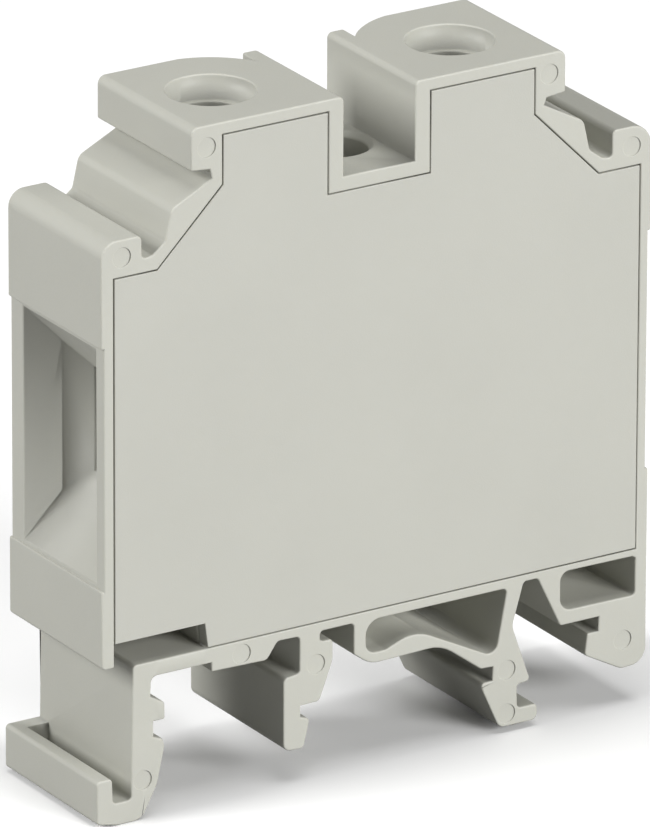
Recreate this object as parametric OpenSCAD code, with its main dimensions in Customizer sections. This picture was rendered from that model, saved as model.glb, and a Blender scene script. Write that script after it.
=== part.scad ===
// Feed-through screw terminal block for a DIN rail, 16 mm2 class, 12 mm pitch.
// X runs across the rail, Y along the rail and Z up from the foot. The drawing is laid out with
// x = 0 on the left end wall and z = 0 under the snap foot, and is then centred over the foot.

/* [Body] */
// Length of the body across the rail
body_l = 43.2; // [43.0:0.1:43.6]
// Height from the foot to the tower tops
body_h = 48.45; // [48.2:0.05:49.0]
// Thickness of one block along the rail
pitch = 12; // [11.8:0.1:12.4]
// Thickness of the flush side cover
cover_t = 1.05; // [0.9:0.05:1.2]
// Gap all round the side cover
cover_gap = 0.08; // [0.05:0.01:0.1]
// Depth by which the end faces beside the wire mouths stand back
end_relief = 0.2; // [0.1:0.05:0.3]

/* [Towers and shoulders] */
// Height of the left shoulder, which carries a marker tag
shoulder_left_z = 41.7; // [41.4:0.1:42.0]
// Height of the right shoulder
shoulder_right_z = 41.95; // [41.7:0.05:42.2]
// Outer side of each tower, measured from its own end wall
tower_x = 6.95; // [6.8:0.05:7.1]
// Inner side of each tower, measured from its own end wall
channel_x = 18.8; // [18.6:0.1:19.0]
// Height of the floor between the towers
channel_z = 42.8; // [42.6:0.1:43.0]
// Radius of the screwdriver hole in each tower
driver_r = 3.05; // [2.9:0.05:3.2]
// Radius of the jumper screw hole between the towers
jumper_r = 2.3; // [2.2:0.05:2.4]

/* [Wire entries] */
// Lowest edge of the wire mouth
mouth_z0 = 17; // [16.8:0.1:17.4]
// Highest edge of the wire mouth
mouth_z1 = 34.2; // [34.0:0.1:34.4]
// Lowest edge of the throat behind the mouth
throat_z0 = 21.8; // [21.6:0.1:22.0]

/* [Clamps] */
// Distance of the left clamp screw from the left end wall
clamp_left = 11.95; // [11.85:0.05:12.05]
// Distance of the right clamp screw from the right end wall
clamp_right = 12.5; // [12.4:0.05:12.6]
// Major radius of the clamp screw thread
screw_r = 2.5; // [2.4:0.05:2.55]
// Radius of the clamp screw head
head_r = 2.9; // [2.8:0.05:2.95]
// Thickness of the cage strip
strip_t = 1.2; // [1.0:0.1:1.2]
// Underside of the current bar
bar_z = 29.2; // [29.1:0.05:29.3]
// Thickness of the current bar
bar_t = 2.2; // [2.0:0.1:2.2]

/* [Rail foot] */
// Left lip of the 35 mm rail gap, on the snap foot
rail35_x0 = 4.03; // [3.98:0.01:4.08]
// Right lip of the 35 mm rail gap
rail35_x1 = 39.37; // [39.3:0.01:39.42]
// Level on which the 35 mm rail's edges seat
rail35_z = 6.9; // [6.85:0.01:6.95]
// Left lip of the 15 mm rail gap
rail15_x0 = 15.57; // [15.5:0.01:15.62]
// Right lip of the 15 mm rail gap
rail15_x1 = 30.86; // [30.8:0.01:30.9]
// Thickness of the foot's spring beam
beam_t = 1.1; // [1.0:0.05:1.15]

/* [Hidden] */

round_fn = 64;
facet_angle = 12;
overrun = 1;

// Colours
polyamide = [0.80, 0.80, 0.76];
cover_grey = [0.77, 0.77, 0.73];
zinc = [0.78, 0.79, 0.80];
tinned = [0.83, 0.80, 0.70];

// Faces along the rail
near_y = -pitch / 2;
far_y = pitch / 2;
cover_y = near_y + cover_t;
chamber_y = far_y - 1.6;
clamp_y = (cover_y + chamber_y) / 2;
lip_x = -0.4;
centre_x = (lip_x + body_l) / 2;
mid_x = body_l / 2;

// Clamp stack, from the wire up to the screwdriver hole
chamber_z0 = 20.2;
chamber_z1 = 41.0;
chamber_half = 4.25;
cage_half = 4.0;
cage_z0 = 20.6;
cage_rise = 6.2;
collar_z0 = bar_z + bar_t + 0.5;
collar_z1 = chamber_z1 - cage_rise - 0.2;
cage_y0 = cover_y + 0.25;
cage_y1 = chamber_y - 0.25;
thread_gap = 0.05;
screw_z0 = bar_z + bar_t + 0.1;
head_z0 = chamber_z1;
head_h = 2.5;
head_gap = 0.1;
pocket_z = head_z0 + head_h + 0.2;
guide_r = 2.6;
driver_z = body_h - 1.75;
jumper_chamfer = 0.35;
drive_slot_w = 1.0;
drive_slot_h = 1.2;

// Current bar
bar_x0 = 6.1;
bar_half = 2.75;
fit_gap = 0.05;
boss_r = 3.0;
boss_h = 2.0;
jumper_thread_r = 1.65;

// Side cover pegs, in the corners where the housing is solid
peg_r = 0.9;
peg_h = 2.4;
peg_gap = 0.04;
peg_x = 3.2;
peg_z = [14.9, 36.6];

// Snap foot hinge, where the spring beam leaves the root block, and the slit above the beam
hinge_x = 8.4;
beam_z1 = 11.25;
hinge_z = beam_z1 - beam_t / 2;
hinge_gap = 0.045;
socket_r = beam_t / 2 + hinge_gap;
jaw_angle = 14;
jaw_x = hinge_x + socket_r * sin(jaw_angle);
jaw_rise = tan(jaw_angle);
jaw_top = hinge_z + socket_r / cos(jaw_angle);
slit_z = 13.0;
slit_x = 7.95;
cover_z = 11.25;
cover_x = 8.18;
slit_lean = (cover_x - slit_x) / (slit_z - cover_z);
jaw_wall_x = (slit_x + (slit_z - jaw_top - hinge_x * jaw_rise) * slit_lean) / (1 - jaw_rise * slit_lean);
web_t = 1;
web_x = 2.8;
web_z = 11.5;

// Ejector marks: round, shallow and on the near face
mark_r = 0.7;
mark_depth = 0.1;
housing_marks = [
  [1.6, 40.45], [8.15, 46.9], [body_l - 8.25, 46.95], [body_l - 1.6, 40.5],
  [10.9, 10.3], [16.75, 8.3], [31.95, 4.6], [31.95, 1.4], [41.3, 4.8]
];
foot_mark = [3.15, 2.85];

// ---- Outlines --------------------------------------------------------------------------------

function unit(v) = v / norm(v);
function turn(a, b) = atan2(a.x * b.y - a.y * b.x, a.x * b.x + a.y * b.y);
function spun(v, angle) = [v.x * cos(angle) - v.y * sin(angle), v.x * sin(angle) + v.y * cos(angle)];
function flat(p) = [p.x, p.y];

// The arc that rounds the corner c, between its neighbours p and n, with the radius in c.z
function corner(p, c, n) =
  let (
    into = unit(flat(c) - flat(p)),
    away = unit(flat(n) - flat(c)),
    sweep = turn(into, away),
    reach = c.z * tan(abs(sweep) / 2),
    start = flat(c) - into * reach,
    side = spun(into, sign(sweep) * 90) * c.z,
    steps = ceil(abs(sweep) / facet_angle)
  )
  c.z == 0 || steps < 1 ? [flat(c)] : [for (i = [0:steps]) start + side - spun(side, sweep * i / steps)];

// An outline given as [x, z, corner radius] points
function rounded(points) =
  let (count = len(points))
  [for (i = [0:count - 1]) each corner(points[(i + count - 1) % count], points[i], points[(i + 1) % count])];

// The same points seen from the other end wall, in reverse order
function mirrored(points) =
  [for (i = [len(points) - 1:-1:0]) [body_l - points[i].x, points[i].y, points[i].z]];

// One end of the top, drawn for the left: marker shoulder, tag groove, ramp, undercut lip and tower
function top_end(level, shoulder_r, ramp_z) = [
  [0, level, shoulder_r],
  [3.16, level, 0.4],
  [3.16, 40.0, 0.3],
  [3.95, 40.15, 0.3],
  [4.95, 40.9, 0.5],
  [5.45, 43.1, 0.8],
  [8.6, ramp_z, 0],
  [8.4, 45.3, 0],
  [tower_x, 45.45, 0],
  [tower_x, body_h, 0.6],
  [channel_x, body_h, 0.4],
  [channel_x, channel_z, 0]
];
top_left = top_end(shoulder_left_z, 1.2, 44.65);
top_right = mirrored(top_end(shoulder_right_z, 1.6, 44.8));

// Underside from the right end wall to the root of the snap foot
right_arm = [
  [body_l, 2.8, 1.2],
  [41.2, 2.7, 0.8],
  [38.25, 4.3, 0.35],
  [38.45, 5.86, 0],
  [rail35_x1, 5.86, 0],
  [rail35_x1, rail35_z, 0],
  [36.25, rail35_z, 0.3],
  [34.4, 10.75, 0.3],
  [33.3, 10.75, 0.3]
];
hook_leg = [
  [32.4, 7.7, 1.2],
  [33.9, 3.4, 0.3],
  [32.8, 3.35, 0.3],
  [32.85, 1.62, 0.3],
  [34.45, 1.62, 0.3],
  [34.45, 0.45, 0.45],
  [31.4, 0.45, 0.7],
  [29.8, 4.0, 0.3],
  [rail15_x1, 4.05, 0],
  [rail15_x1, 5.05, 0],
  [29.9, 5.1, 0.3]
];
arch = [
  [26.7, 7.5, 3.0],
  [21.1, 7.35, 2.0],
  [19.75, 8.35, 0.3],
  [19.75, 10.6, 0.3]
];
spring_leg = [
  [17.08, 10.6, 0.3],
  [17.08, 9.84, 0.3],
  [18.1, 9.84, 0.3],
  [18.1, 8.3, 2.0],
  [17.05, 5.55, 0.4],
  [rail15_x0, 5.5, 0],
  [rail15_x0, 4.7, 0],
  [16.3, 4.45, 0.3],
  [15.8, 2.4, 0.3],
  [14.2, 2.45, 0.6],
  [14.2, 7.75, 0.4],
  [15.47, 7.9, 0.3],
  [15.47, 10.55, 0.3]
];
root_block = [
  [13.75, 10.6, 0.4],
  [12.9, 9.4, 0.5],
  [jaw_x, 9.5, 0],
  [jaw_x, hinge_z + socket_r * cos(jaw_angle), 0],
  [jaw_wall_x, jaw_top + (hinge_x - jaw_wall_x) * jaw_rise, 0],
  [slit_x, slit_z, 0],
  [0.96, slit_z, 0],
  [0.96, 11.4, 0],
  [0, 11.4, 0.3]
];
body_outline = rounded(concat(top_left, top_right, right_arm, hook_leg, arch, spring_leg, root_block));

// Pockets that lighten the rail legs, open on the near side
arch_pocket = rounded([
  [20.72, 10.55, 1.1],
  [31.95, 10.55, 0.3],
  [31.05, 5.75, 0.7],
  [24.6, 9.05, 3.0],
  [22.3, 8.15, 0.8],
  [20.72, 8.15, 0.75]
]);
arm_pocket = rounded([
  [36.25, 10.8, 0.7],
  [42.25, 10.75, 0.3],
  [42.25, 7.9, 0.3],
  [36.25, 7.95, 0.9]
]);

// One end of the side cover's top, drawn for the left; grow is the distance added all round
function cover_end(grow, edge, step, knee, top) =
  let (slope = grow * tan(22.5))
  [
    [edge.x - grow, edge.y + grow, 0],
    [step - slope, edge.y + grow, 0],
    [knee.x - grow, knee.y + slope, 0],
    [knee.x - grow, top + grow, 0],
    [17.63 + grow, top + grow, 0],
    [17.63 + grow, 41.78 + grow, 0]
  ];

// The cover's outline, with every corner sharp
function cover_outline(grow) =
  rounded(concat(
    [[cover_x - grow, cover_z - grow, 0], [slit_x - grow, slit_z - grow, 0], [0.96 - grow, slit_z - grow, 0]],
    cover_end(grow, [0.96, 39.07], 4.33, [9.37, 44.08], 47.6),
    mirrored(cover_end(grow, [0.86, 39.12], 4.2, [9.33, 44.3], 47.6)),
    [[body_l - 0.86 + grow, cover_z - grow, 0]]
  ));

// Snap foot: spring beam, leg with two rail teeth, and the lip that a screwdriver pulls
foot_outline = rounded([
  [hinge_x, beam_z1, 0],
  [hinge_x, beam_z1 - beam_t, 0],
  [3.85, beam_z1 - beam_t, 0.5],
  [3.8, 8.72, 0],
  [4.9, 8.1, 0.3],
  [4.9, rail35_z, 0],
  [rail35_x0, rail35_z, 0],
  [rail35_x0, 5.78, 0],
  [4.75, 5.5, 0],
  [4.9, 5.0, 0.5],
  [4.3, 2.3, 2.0],
  [3.1, 0, 1.1],
  [1.2, 0, 1.5],
  [lip_x, 0.35, 0.3],
  [lip_x, 3.45, 0.3],
  [0.8, 3.45, 0.3],
  [0.85, 1.62, 0.3],
  [2.25, 1.62, 0.3],
  [2.4, beam_z1, 0.35]
]);

// Wire mouth seen from the side: floor and roof slope in at 45 degrees to the throat
mouth_run = throat_z0 - mouth_z0;
mouth_side = [
  [-overrun, mouth_z0],
  [0, mouth_z0],
  [mouth_run, throat_z0],
  [mouth_run + overrun, throat_z0],
  [mouth_run + overrun, bar_z],
  [mouth_run, bar_z],
  [0, mouth_z1],
  [-overrun, mouth_z1]
];

// Wire mouth seen from above: straight walls that draw in before the throat
throat_y = 3.1;
mouth_top = [
  [-overrun, cover_y],
  [-overrun, chamber_y],
  [3.2, chamber_y],
  [mouth_run, clamp_y + throat_y],
  [mouth_run + overrun, clamp_y + throat_y],
  [mouth_run + overrun, clamp_y - throat_y],
  [mouth_run, clamp_y - throat_y],
  [3.2, cover_y]
];

// ---- Shared shapes ---------------------------------------------------------------------------

// Moves the drawing so that its origin is centred over the foot
module centred() {
  translate([-centre_x, 0, 0])
    children();
}

// A side-view outline made solid from y0 to y1
module slab(y0, y1) {
  translate([0, y1, 0])
    rotate([90, 0, 0])
      linear_extrude(y1 - y0)
        children();
}

// A box between two opposite corners
module block(low, high) {
  translate(low)
    cube(high - low);
}

// Repeats the left end's shapes at the right end
module other_end() {
  translate([body_l, 0, 0])
    mirror([1, 0, 0])
      children();
}

module upright(x, z0, z1, r) {
  translate([x, clamp_y, z0])
    cylinder(h = z1 - z0, r = r, $fn = round_fn);
}

module near_disc(place, r, y0, y1) {
  translate([place.x, y1, place.y])
    rotate([90, 0, 0])
      cylinder(h = y1 - y0, r = r, $fn = round_fn);
}

// ---- Hollows in the housing ------------------------------------------------------------------

module wire_mouth(clamp_x) {
  intersection() {
    slab(near_y, far_y) polygon(mouth_side);
    translate([0, 0, mouth_z0 - overrun])
      linear_extrude(mouth_z1 - mouth_z0 + 2 * overrun)
        polygon(mouth_top);
  }
  block(
    [mouth_run, clamp_y - throat_y, throat_z0],
    [clamp_x - chamber_half + overrun, clamp_y + throat_y, bar_z]
  );
}

module end_face_relief() {
  block([-overrun, near_y - overrun, mouth_z0], [end_relief, far_y + overrun, mouth_z1]);
}

module clamp_chamber(clamp_x) {
  block(
    [clamp_x - chamber_half, cover_y, chamber_z0],
    [clamp_x + chamber_half, chamber_y, chamber_z1]
  );
  upright(clamp_x, chamber_z1 - overrun, pocket_z, head_r + head_gap);
  block(
    [clamp_x - head_r - head_gap, cover_y, chamber_z1 - overrun],
    [clamp_x + head_r + head_gap, clamp_y, pocket_z]
  );
}

module driver_hole(clamp_x) {
  upright(clamp_x, pocket_z - overrun, driver_z + overrun, guide_r);
  upright(clamp_x, driver_z, body_h + overrun, driver_r);
}

// The far inner corner of each tower is rounded about the screw, beside a short straight wall
module tower_corner(clamp_x, wall_y) {
  corner_r = 6.4;
  wall_x = channel_x - 1.3;
  difference() {
    block([clamp_x, 0, channel_z], [channel_x + 0.5, far_y + overrun, body_h + overrun]);
    upright(clamp_x, channel_z - overrun, body_h + 2 * overrun, corner_r);
    block([wall_x, -overrun, channel_z - overrun], [channel_x + overrun, wall_y, body_h + 2 * overrun]);
  }
}

// Cored pocket under the clamp, open to the cover
module lower_core() {
  block([5.5, cover_y, 14.2], [mid_x - 0.7, chamber_y, 18.9]);
}

module end_hollows(clamp_x, wall_y) {
  wire_mouth(clamp_x);
  end_face_relief();
  clamp_chamber(clamp_x);
  driver_hole(clamp_x);
  tower_corner(clamp_x, wall_y);
  lower_core();
}

module bar_groove() {
  block(
    [bar_x0 - fit_gap, cover_y, bar_z - fit_gap],
    [body_l - bar_x0 + fit_gap, clamp_y + bar_half + fit_gap, bar_z + bar_t + fit_gap]
  );
}

module middle_core() {
  half = 4.0;
  top = 40.8;
  block([mid_x - half, cover_y, chamber_z0], [mid_x + half, chamber_y, top]);
  upright(mid_x, top - overrun, channel_z + overrun, jumper_r);
  translate([mid_x, clamp_y, channel_z - jumper_chamfer])
    cylinder(
      h = 2 * jumper_chamfer,
      r1 = jumper_r,
      r2 = jumper_r + 2 * jumper_chamfer,
      $fn = round_fn
    );
}

module peg_set(r, y0, y1) {
  for (x = [peg_x, body_l - peg_x])
    for (z = peg_z)
      near_disc([x, z], r, y0, y1);
}

// Thin wall that closes the far side of the slit above the spring beam
module slit_web() {
  block([web_x, far_y - web_t, web_z], [slit_x + overrun, far_y, slit_z + overrun]);
}

// ---- Pieces ----------------------------------------------------------------------------------

// Moulded polyamide housing with the rigid rail legs
module housing() {
  color(polyamide) centred() difference() {
    union() {
      slab(near_y, far_y) polygon(body_outline);
      slit_web();
    }
    slab(near_y - overrun, far_y - web_t) polygon(arch_pocket);
    slab(near_y - overrun, far_y - web_t) polygon(arm_pocket);
    slab(near_y - overrun, cover_y) polygon(cover_outline(0));
    end_hollows(clamp_left, far_y - 1.25);
    other_end() end_hollows(clamp_right, far_y - 0.8);
    bar_groove();
    middle_core();
    peg_set(peg_r + peg_gap, cover_y - overrun, cover_y + peg_h + 0.2);
    near_disc([hinge_x, hinge_z], socket_r, near_y - overrun, far_y + overrun);
    for (place = housing_marks)
      near_disc(place, mark_r, near_y - overrun, near_y + mark_depth);
  }
}

// Sprung foot, which in the moulding is one with the housing at the end of its beam
module snap_foot() {
  pocket_wall = 1.25;
  color(polyamide) centred() difference() {
    union() {
      slab(near_y, far_y) polygon(foot_outline);
      near_disc([hinge_x, hinge_z], beam_t / 2, near_y, far_y);
      block([0.5, far_y - pocket_wall, 1.2], [2.35, far_y, 3.45]);
    }
    block(
      [web_x - 0.35, far_y - web_t - 0.1, beam_z1 - beam_t - 0.05],
      [hinge_x + overrun, far_y + overrun, slit_z]
    );
    near_disc(foot_mark, mark_r, near_y - overrun, near_y + mark_depth);
  }
}

// Flush cover that closes the near side, with four pegs
module side_cover() {
  color(cover_grey) centred() {
    slab(near_y, cover_y) polygon(cover_outline(-cover_gap));
    peg_set(peg_r, cover_y, cover_y + peg_h);
  }
}

// Tinned bar that joins the two clamps, with a threaded boss for the jumper screw
module current_bar() {
  color(tinned) centred() difference() {
    union() {
      block(
        [bar_x0, clamp_y - bar_half, bar_z],
        [body_l - bar_x0, clamp_y + bar_half, bar_z + bar_t]
      );
      upright(mid_x, bar_z + bar_t / 2, bar_z + bar_t + boss_h, boss_r);
    }
    upright(mid_x, bar_z - overrun, bar_z + bar_t + boss_h + overrun, jumper_thread_r);
  }
}

// A cage seen along X, from its lowest to its highest level, inset from the outside
function cage_loop(inset, z0, z1, bend_r) = [
  [cage_y0 + inset, z0, bend_r],
  [cage_y1 - inset, z0, bend_r],
  [cage_y1 - inset, z1, bend_r],
  [cage_y0 + inset, z1, bend_r]
];

// An end-view outline made solid from x0 to x1
module ribbon(x0, x1) {
  translate([x0, 0, 0])
    rotate([90, 0, 90])
      linear_extrude(x1 - x0)
        children();
}

// Rising cage: a bent strip whose thick upper collar runs on the screw
module clamp_cage(x) {
  color(zinc) centred() difference() {
    ribbon(x - cage_half, x + cage_half)
      polygon(rounded(cage_loop(0, cage_z0, collar_z1, strip_t + 0.3)));
    ribbon(x - cage_half - overrun, x + cage_half + overrun)
      polygon(rounded(cage_loop(strip_t, cage_z0 + strip_t, collar_z0, 0.5)));
    upright(x, collar_z0 - overrun, collar_z1 + overrun, screw_r + thread_gap);
  }
}

module clamp_cage_left() {
  clamp_cage(clamp_left);
}

module clamp_cage_right() {
  clamp_cage(body_l - clamp_right);
}

// Slotted cylinder-head clamp screw
module clamp_screw(x) {
  head_z1 = head_z0 + head_h;
  color(zinc) centred() difference() {
    union() {
      upright(x, screw_z0, head_z0 + overrun, screw_r);
      upright(x, head_z0, head_z1, head_r);
    }
    block(
      [x - head_r - overrun, clamp_y - drive_slot_w / 2, head_z1 - drive_slot_h],
      [x + head_r + overrun, clamp_y + drive_slot_w / 2, head_z1 + overrun]
    );
  }
}

module clamp_screw_left() {
  clamp_screw(clamp_left);
}

module clamp_screw_right() {
  clamp_screw(body_l - clamp_right);
}

housing();
snap_foot();
side_cover();
current_bar();
clamp_cage_left();
clamp_cage_right();
clamp_screw_left();
clamp_screw_right();
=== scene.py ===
"""Looks of the DIN rail terminal block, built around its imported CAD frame."""

from math import cos, pi, radians, sin

import bmesh
import bpy
from mathutils import Matrix, Vector
from mathutils.bvhtree import BVHTree


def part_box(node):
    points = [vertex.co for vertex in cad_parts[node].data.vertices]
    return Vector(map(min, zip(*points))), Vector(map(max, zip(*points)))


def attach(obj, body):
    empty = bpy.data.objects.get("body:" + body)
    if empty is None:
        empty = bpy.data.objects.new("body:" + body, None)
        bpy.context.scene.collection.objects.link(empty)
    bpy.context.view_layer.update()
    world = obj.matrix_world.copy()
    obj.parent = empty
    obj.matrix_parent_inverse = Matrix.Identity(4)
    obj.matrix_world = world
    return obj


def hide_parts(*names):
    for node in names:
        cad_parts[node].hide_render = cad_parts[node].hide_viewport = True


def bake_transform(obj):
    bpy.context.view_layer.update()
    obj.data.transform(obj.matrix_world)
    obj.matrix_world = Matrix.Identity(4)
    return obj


MM = 0.001

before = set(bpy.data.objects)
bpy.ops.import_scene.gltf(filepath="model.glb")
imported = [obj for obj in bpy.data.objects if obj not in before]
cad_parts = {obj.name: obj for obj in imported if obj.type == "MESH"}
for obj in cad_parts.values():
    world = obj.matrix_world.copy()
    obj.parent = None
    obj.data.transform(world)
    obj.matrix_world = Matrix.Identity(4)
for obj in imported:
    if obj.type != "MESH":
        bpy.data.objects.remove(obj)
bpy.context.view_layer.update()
scene = bpy.context.scene


# ---- Materials -------------------------------------------------------------------------------

def new_material(name, colour, metallic, **sockets):
    """A Principled material with the values that are the same all over."""
    material = bpy.data.materials.new(name)
    material.use_nodes = True
    shader = material.node_tree.nodes["Principled BSDF"]
    shader.inputs["Base Color"].default_value = (*colour, 1)
    shader.inputs["Metallic"].default_value = metallic
    for socket, value in sockets.items():
        shader.inputs[socket.replace("_", " ")].default_value = value
    return material


def node(material, kind):
    return material.node_tree.nodes.new(kind)


def link(material, source, target):
    material.node_tree.links.new(source, target)


def feed(material, source, socket):
    """Links a varying value or colour to the material's own shader."""
    link(material, source, material.node_tree.nodes["Principled BSDF"].inputs[socket])


def noise(material, scale, detail, stretch=(1, 1, 1)):
    """A noise value in the row frame; scale is in cycles per millimetre, before the stretch."""
    place = node(material, "ShaderNodeTexCoord")
    mapping = node(material, "ShaderNodeMapping")
    mapping.inputs["Scale"].default_value = stretch
    made = node(material, "ShaderNodeTexNoise")
    made.inputs["Scale"].default_value = scale / MM
    made.inputs["Detail"].default_value = detail
    link(material, place.outputs["Object"], mapping.inputs["Vector"])
    link(material, mapping.outputs["Vector"], made.inputs["Vector"])
    return made.outputs["Fac"]


def spread(material, value, low, high):
    """Maps the middle of a noise value's range onto the range from low to high."""
    made = node(material, "ShaderNodeMapRange")
    made.inputs["From Min"].default_value = 0.3
    made.inputs["From Max"].default_value = 0.7
    made.inputs["To Min"].default_value = low
    made.inputs["To Max"].default_value = high
    link(material, value, made.inputs["Value"])
    return made.outputs["Result"]


def mixed(material, factor, first, second):
    made = node(material, "ShaderNodeMix")
    made.data_type = "RGBA"
    made.inputs["A"].default_value = (*first, 1)
    made.inputs["B"].default_value = (*second, 1)
    link(material, factor, made.inputs["Factor"])
    return made.outputs["Result"]


def bump(material, height, distance, strength):
    made = node(material, "ShaderNodeBump")
    made.inputs["Strength"].default_value = strength
    made.inputs["Distance"].default_value = distance
    link(material, height, made.inputs["Height"])
    feed(material, made.outputs["Normal"], "Normal")


def polyamide(name, colour, shade):
    """Moulded polyamide: faint flow clouds, a spark-eroded grain and an uneven satin."""
    material = new_material(
        name, colour, 0.0, Subsurface_Weight=0.12, Subsurface_Scale=0.4 * MM,
        Subsurface_Radius=(1.0, 0.9, 0.7), IOR=1.53,
    )
    clouds = noise(material, 0.12, detail=4)
    grain = noise(material, 9.0, detail=2)
    darker = tuple(c * shade for c in colour)
    feed(material, mixed(material, spread(material, clouds, 0, 1), colour, darker), "Base Color")
    feed(material, spread(material, grain, 0.46, 0.60), "Roughness")
    bump(material, grain, 0.012 * MM, 0.5)
    return material


def plated(name, colour, tint, line_stretch):
    """Plated metal: fine drawn lines, and blotches in the passivation."""
    material = new_material(name, colour, 1.0)
    lines = noise(material, 6.0, detail=2, stretch=line_stretch)
    blotches = noise(material, 0.5, detail=5)
    feed(material, mixed(material, spread(material, blotches, 0, 1), colour, tint), "Base Color")
    feed(material, spread(material, lines, 0.24, 0.40), "Roughness")
    bump(material, lines, 0.006 * MM, 0.4)
    return material


housing_plastic = polyamide("housing_polyamide", (0.445, 0.445, 0.397), 0.965)
cover_plastic = polyamide("cover_polyamide", (0.425, 0.425, 0.382), 0.97)
zinc = plated("zinc_plate", (0.72, 0.74, 0.77), (0.62, 0.66, 0.72), (1, 1, 0.1))
tin = plated("tin_plate", (0.80, 0.77, 0.68), (0.70, 0.66, 0.56), (0.1, 1, 1))


# ---- Mesh tools ------------------------------------------------------------------------------

# The block's own drawing: x from the left end wall, z from under the foot, in millimetres.
CENTRE_X = 21.4
NEAR_Y = -6
FAR_Y = 6


def at(x, y, z):
    """A point of the drawing in the row frame."""
    return Vector((x - CENTRE_X, y, z)) * MM


def to_mesh(bm):
    mesh = bpy.data.meshes.new("made")
    bm.to_mesh(mesh)
    bm.free()
    return mesh


def box(low, high):
    """The mesh of a box between two opposite corners."""
    bm = bmesh.new()
    place = Matrix.Translation((low + high) / 2) @ Matrix.Diagonal((*(high - low), 1))
    bmesh.ops.create_cube(bm, size=1, matrix=place)
    return to_mesh(bm)


def welded(bm):
    """Joins the triangles where they meet."""
    bmesh.ops.remove_doubles(bm, verts=bm.verts, dist=0.0005 * MM)
    return bm


def cad_mesh(node_name):
    bm = bmesh.new()
    bm.from_mesh(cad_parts[node_name].data)
    return welded(bm)


def combined(mesh, tool, operation):
    """The boolean of two closed meshes, as a new bmesh."""
    first = bpy.data.objects.new("first", mesh)
    second = bpy.data.objects.new("second", tool)
    for made in (first, second):
        scene.collection.objects.link(made)
    cut = first.modifiers.new("cut", "BOOLEAN")
    cut.operation = operation
    cut.solver = "MANIFOLD"
    cut.object = second
    bpy.context.view_layer.update()
    result = first.evaluated_get(bpy.context.evaluated_depsgraph_get()).to_mesh()
    bm = bmesh.new()
    bm.from_mesh(result)
    for made in (first, second):
        bpy.data.objects.remove(made)
    return bm


def dissolved(bm):
    """Turns the triangles back into whole flat faces."""
    bmesh.ops.remove_doubles(bm, verts=bm.verts, dist=0.004 * MM)
    bmesh.ops.dissolve_degenerate(bm, edges=bm.edges, dist=0.001 * MM)
    bmesh.ops.dissolve_limit(bm, angle_limit=radians(0.4), verts=bm.verts, edges=bm.edges)
    return bm


# ---- Edge rounding ---------------------------------------------------------------------------

# Width of a moulded or sheared edge's rounding, and of the thin cover's
EDGE = 0.12 * MM
COVER_EDGE = 0.09 * MM
# Shares of that width beside the cover, and around the shallow ejector marks
RIM_SHARE = 0.75
MARK_SHARE = 0.3
COVER_GAP = 0.08 * MM
SHALLOW = 0.2 * MM

cover_surface = BVHTree.FromObject(
    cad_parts["side_cover"], bpy.context.evaluated_depsgraph_get()
)


def depth_along_y(face):
    ys = [v.co.y for v in face.verts]
    return max(ys) - min(ys)


def rounding_share(edge):
    if any(abs(f.normal.y) < 0.5 and depth_along_y(f) < SHALLOW for f in edge.link_faces):
        return MARK_SHARE
    middle = (edge.verts[0].co + edge.verts[1].co) / 2
    beside_cover = cover_surface.find_nearest(middle, 1.1 * COVER_GAP)[0] is not None
    return RIM_SHARE if beside_cover else 1.0


def weigh_edges(bm, seam_x=None):
    """Marks the convex edges for the bevel, and keeps the seam at seam_x square."""
    layer = bm.edges.layers.float.new("bevel_weight_edge")
    for e in bm.edges:
        if not e.is_manifold or not e.is_convex or e.calc_face_angle(0) < radians(30):
            continue
        if seam_x is not None and all(abs(v.co.x - seam_x) < 0.01 * MM for v in e.verts):
            e.smooth = False
        else:
            e[layer] = rounding_share(e)


def finished_piece(name, bm, material, body, stands_for, edge=0, bend=None):
    """Puts a mesh on its body in place of its CAD node; with bend given, it applies the modifiers
    and leaves the piece off any body, and the bend's bodies and places are not used.
    """
    mesh = to_mesh(bm)
    mesh.name = name
    mesh.materials.append(material)
    mesh.shade_smooth()
    piece = bpy.data.objects.new(name, mesh)
    scene.collection.objects.link(piece)
    if edge:
        bevel = piece.modifiers.new("edge_rounding", "BEVEL")
        bevel.width = edge
        bevel.segments = 3
        bevel.limit_method = "WEIGHT"
        bevel.use_clamp_overlap = False
        bevel.miter_outer = "MITER_ARC"
    weighted = piece.modifiers.new("even_normals", "WEIGHTED_NORMAL")
    weighted.keep_sharp = True
    weighted.weight = 100
    if bend:
        bpy.context.view_layer.update()
        whole = piece.evaluated_get(bpy.context.evaluated_depsgraph_get())
        final = bpy.data.meshes.new_from_object(whole)
        piece.modifiers.clear()
        piece.data = final
        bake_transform(piece)
    else:
        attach(piece, body)
    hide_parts(stands_for)


# ---- Housing and foot: one moulding ----------------------------------------------------------

# Where the spring beam leaves the housing, and its lower and upper face
BEAM_ROOT_X = 8.1
BEAM_Z = (10.15, 11.25)
# Right ends of the CAD hinge's jaws and of the slit above the beam
JAW_X = 8.4 + 0.595 * sin(radians(14))
SLIT_END_X = 8.164
# A plane past the CAD hinge, inside the solid
SOLID_X = 9.1
# The floor and the side walls of the jumper channel
CHANNEL_Z = 42.8
CHANNEL_WALLS = (18.8, 24.4)
# Edge loops are cut across the beam from its root in equal steps; this end place is only passed
# on, and nothing bends the beam
BEND_END_X = 3.4
BEND_STEP = 0.45
BEND_STEPS = 11


def root_fills():
    """Boxes that fill the CAD hinge's socket, as the beam's root is solid."""
    return [
        (at(BEAM_ROOT_X, NEAR_Y, BEAM_Z[0]), at(SOLID_X, 4.9, BEAM_Z[1])),
        (at(JAW_X, NEAR_Y, BEAM_Z[0] - 0.15), at(SOLID_X, FAR_Y, BEAM_Z[1])),
        (at(SLIT_END_X, -4.95, BEAM_Z[1] - 0.35), at(SOLID_X, FAR_Y, BEAM_Z[1] + 0.2)),
    ]


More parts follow.
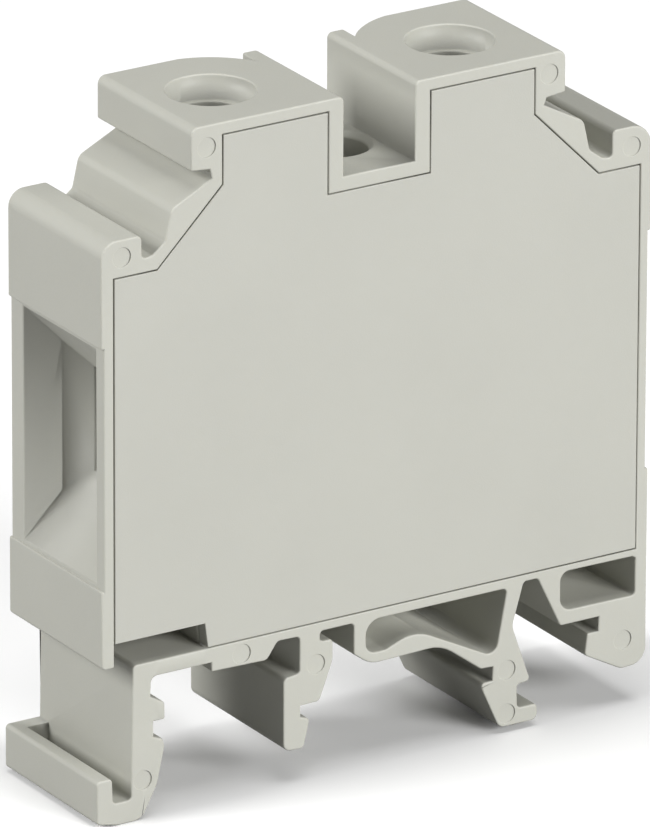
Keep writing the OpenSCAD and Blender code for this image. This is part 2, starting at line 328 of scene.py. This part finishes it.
def channel_fills():
    """Boxes that fill the nicks which the jumper hole's chamfer leaves in the channel walls."""
    left, right = CHANNEL_WALLS
    low_z, high_z = CHANNEL_Z - 0.1, CHANNEL_Z + 0.5
    return [
        (at(left - 0.3, -1.8, low_z), at(left, 1.3, high_z)),
        (at(right, -1.8, low_z), at(right + 0.3, 1.3, high_z)),
    ]


def make_housing():
    mesh = to_mesh(cad_mesh("housing"))
    for corners in root_fills() + channel_fills():
        mesh = to_mesh(welded(combined(mesh, box(*corners), "UNION")))
    bm = bmesh.new()
    bm.from_mesh(mesh)
    dissolved(bm)
    weigh_edges(bm, seam_x=at(BEAM_ROOT_X, 0, 0).x)
    finished_piece(
        "housing_shell", bm, housing_plastic, "housing", "housing", edge=EDGE
    )


def cut_off_past(bm, x):
    """Cuts everything to the right of x away, and closes the cut."""
    everything = bm.verts[:] + bm.edges[:] + bm.faces[:]
    cut = bmesh.ops.bisect_plane(
        bm, geom=everything, plane_co=(x, 0, 0), plane_no=(1, 0, 0), clear_outer=True
    )
    rim = [g for g in cut["geom_cut"] if isinstance(g, bmesh.types.BMEdge)]
    bmesh.ops.contextual_create(bm, geom=rim)


def slice_beam(bm, x):
    """Adds a loop of edges across the beam at x."""
    beam = [f for f in bm.faces if max(v.co.z for v in f.verts) > 9.0 * MM]
    edges = {e for f in beam for e in f.edges}
    verts = {v for e in edges for v in e.verts}
    geom = beam + list(edges) + list(verts)
    bmesh.ops.bisect_plane(bm, geom=geom, plane_co=(x, 0, 0), plane_no=(1, 0, 0))


def make_foot():
    """The sprung foot up to the beam's root, with loops of edges cut across the beam left of its
    root.
    """
    bm = cad_mesh("snap_foot")
    seam_x = at(BEAM_ROOT_X, 0, 0).x
    cut_off_past(bm, seam_x)
    dissolved(bm)
    for step in range(1, BEND_STEPS + 1):
        slice_beam(bm, at(BEAM_ROOT_X - BEND_STEP * step, 0, 0).x)
    weigh_edges(bm, seam_x=seam_x)
    bend_start = at(BEAM_ROOT_X - 0.1, 0, 10.7)
    bend_end = at(BEND_END_X, 0, 10.7)
    finished_piece(
        "foot_shell", bm, housing_plastic, "snap_foot", "snap_foot", edge=EDGE,
        bend=("housing", "snap_foot", bend_start, bend_end),
    )


# ---- Cover, bar and clamps -------------------------------------------------------------------

# Heights and radii of a clamp screw at rest, in millimetres
SCREW_FOOT = 31.5
SCREW_HEAD = 41.0
SCREW_TOP = 43.5
THREAD_MAJOR = 2.48
THREAD_MINOR = 2.0
THREAD_PITCH = 0.8
THREAD_STEP = 0.1
TIP_RADIUS = 1.75
HEAD_PROFILE = [
    (SCREW_HEAD, 2.1), (SCREW_HEAD, 2.78), (SCREW_HEAD + 0.12, 2.9),
    (SCREW_TOP - 0.22, 2.9), (SCREW_TOP - 0.08, 2.82), (SCREW_TOP, 2.62),
]
SLOT_FLOOR = 42.3
SLOT_HALF_WIDTH = 0.5
TURN_STEPS = 48


def from_cad(name, cad_node, material, body, edge):
    bm = dissolved(cad_mesh(cad_node))
    weigh_edges(bm)
    finished_piece(name, bm, material, body, cad_node, edge)


def lathe(centre, rings):
    """A closed solid of revolution about +Z. rings are (z, radius at each angle), upwards."""
    bm = bmesh.new()
    turn = [2 * pi * k / TURN_STEPS for k in range(TURN_STEPS)]
    loops = []
    for z, radius in rings:
        points = [Vector((radius(t) * cos(t), radius(t) * sin(t), z)) * MM for t in turn]
        loops.append([bm.verts.new(centre + p) for p in points])
    for low, high in zip(loops, loops[1:]):
        for k in range(TURN_STEPS):
            bm.faces.new((low[k - 1], low[k], high[k], high[k - 1]))
    bm.faces.new(loops[0][::-1])
    bm.faces.new(loops[-1])
    return bm


def thread_radius(z, limit):
    """The radius at each angle of a right-hand thread at height z, no more than limit."""
    def radius(t):
        phase = (z / THREAD_PITCH - t / (2 * pi)) % 1.0
        flank = min(max(1.6 * (1 - abs(2 * phase - 1)) - 0.25, 0), 1)
        return min(limit, THREAD_MINOR + (THREAD_MAJOR - THREAD_MINOR) * flank)
    return radius


def steady(radius):
    return lambda t: radius


def make_screw(side):
    """Slotted cylinder-head screw with a real helical thread and a chamfered tip."""
    low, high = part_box(f"clamp_screw_{side}")
    centre = Vector(((low.x + high.x) / 2, (low.y + high.y) / 2, 0))
    rings = []
    for k in range(int((SCREW_HEAD - SCREW_FOOT) / THREAD_STEP)):
        rise = k * THREAD_STEP
        z = SCREW_FOOT + rise
        rings.append((z, thread_radius(z, TIP_RADIUS + rise)))
    rings += [(z, steady(r)) for z, r in HEAD_PROFILE]
    slot_low = centre + Vector((-4, -SLOT_HALF_WIDTH, SLOT_FLOOR)) * MM
    slot_high = centre + Vector((4, SLOT_HALF_WIDTH, SCREW_TOP + 0.5)) * MM
    bm = combined(to_mesh(lathe(centre, rings)), box(slot_low, slot_high), "DIFFERENCE")
    finished_piece(
        f"screw_{side}", bm, zinc, f"clamp_screw_{side}", f"clamp_screw_{side}"
    )


make_housing()
make_foot()
from_cad("cover_plate", "side_cover", cover_plastic, "side_cover", COVER_EDGE)
from_cad("bar", "current_bar", tin, "housing", EDGE)
for side in ("left", "right"):
    from_cad(f"cage_{side}", f"clamp_cage_{side}", zinc, f"clamp_cage_{side}", EDGE)
    make_screw(side)


# ---- Floor, light and camera -----------------------------------------------------------------

def floor_paint():
    """White where the camera sees it, and grey in what it throws back at the object."""
    paint = bpy.data.materials.new("floor_paint")
    paint.use_nodes = True
    paint.node_tree.nodes.clear()
    seen = node(paint, "ShaderNodeBsdfDiffuse")
    seen.inputs["Color"].default_value = (0.98, 0.98, 0.98, 1)
    thrown_back = node(paint, "ShaderNodeBsdfDiffuse")
    thrown_back.inputs["Color"].default_value = (0.35, 0.35, 0.35, 1)
    path = node(paint, "ShaderNodeLightPath")
    either = node(paint, "ShaderNodeMixShader")
    output = node(paint, "ShaderNodeOutputMaterial")
    link(paint, path.outputs["Is Camera Ray"], either.inputs["Fac"])
    link(paint, thrown_back.outputs["BSDF"], either.inputs[1])
    link(paint, seen.outputs["BSDF"], either.inputs[2])
    link(paint, either.outputs["Shader"], output.inputs["Surface"])
    return paint


def make_floor(half_size):
    bm = bmesh.new()
    bmesh.ops.create_grid(bm, x_segments=1, y_segments=1, size=half_size)
    mesh = to_mesh(bm)
    mesh.materials.append(floor_paint())
    floor = bpy.data.objects.new("floor", mesh)
    scene.collection.objects.link(floor)


def make_world(strength):
    world = bpy.data.worlds.new("studio")
    world.use_nodes = True
    background = world.node_tree.nodes["Background"]
    background.inputs["Color"].default_value = (1, 1, 1, 1)
    background.inputs["Strength"].default_value = strength
    scene.world = world


def direction(azimuth, elevation):
    """The unit vector towards a viewpoint, from azimuth 0 in front and elevation 0 level."""
    a, e = radians(azimuth), radians(elevation)
    return Vector((sin(a) * cos(e), -cos(a) * cos(e), sin(e)))


def aim(thing, towards, roll=0.0):
    """Turns a lamp or camera to look back along towards."""
    level = (-towards).to_track_quat("-Z", "Y")
    thing.rotation_mode = "QUATERNION"
    thing.rotation_quaternion = Matrix.Rotation(radians(roll), 4, towards).to_quaternion() @ level


def softbox(name, azimuth, elevation, distance, size, power):
    """A square soft light aimed at the object's middle."""
    light = bpy.data.lights.new(name, "AREA")
    light.shape = "SQUARE"
    light.size = size
    light.energy = power
    lamp = bpy.data.objects.new(name, light)
    scene.collection.objects.link(lamp)
    towards = direction(azimuth, elevation)
    lamp.location = Vector((0, 0, 25 * MM)) + towards * distance
    aim(lamp, towards)


def make_camera():
    """A long lens from the front left, a little above the towers."""
    camera_data = bpy.data.cameras.new("camera")
    camera_data.sensor_width = 36
    camera_data.lens = 631.2
    camera_data.shift_x = -0.00567
    camera_data.shift_y = -0.0336
    camera_data.clip_start = 0.05
    camera_data.clip_end = 20
    camera = bpy.data.objects.new("camera", camera_data)
    scene.collection.objects.link(camera)
    towards = direction(-32.0, 21.3)
    camera.location = Vector((0.1, 0, 25.38)) * MM + towards * 973.15 * MM
    aim(camera, towards, roll=0.2)
    scene.camera = camera


make_floor(half_size=3.0)
make_world(0.1)
softbox("key", azimuth=18, elevation=15, distance=1.0, size=0.5, power=12.2)
softbox("left", azimuth=-105, elevation=28, distance=0.8, size=0.4, power=5.8)
softbox("top", azimuth=0, elevation=85, distance=0.8, size=0.5, power=3.1)
make_camera()
scene.view_settings.view_transform = "Standard"
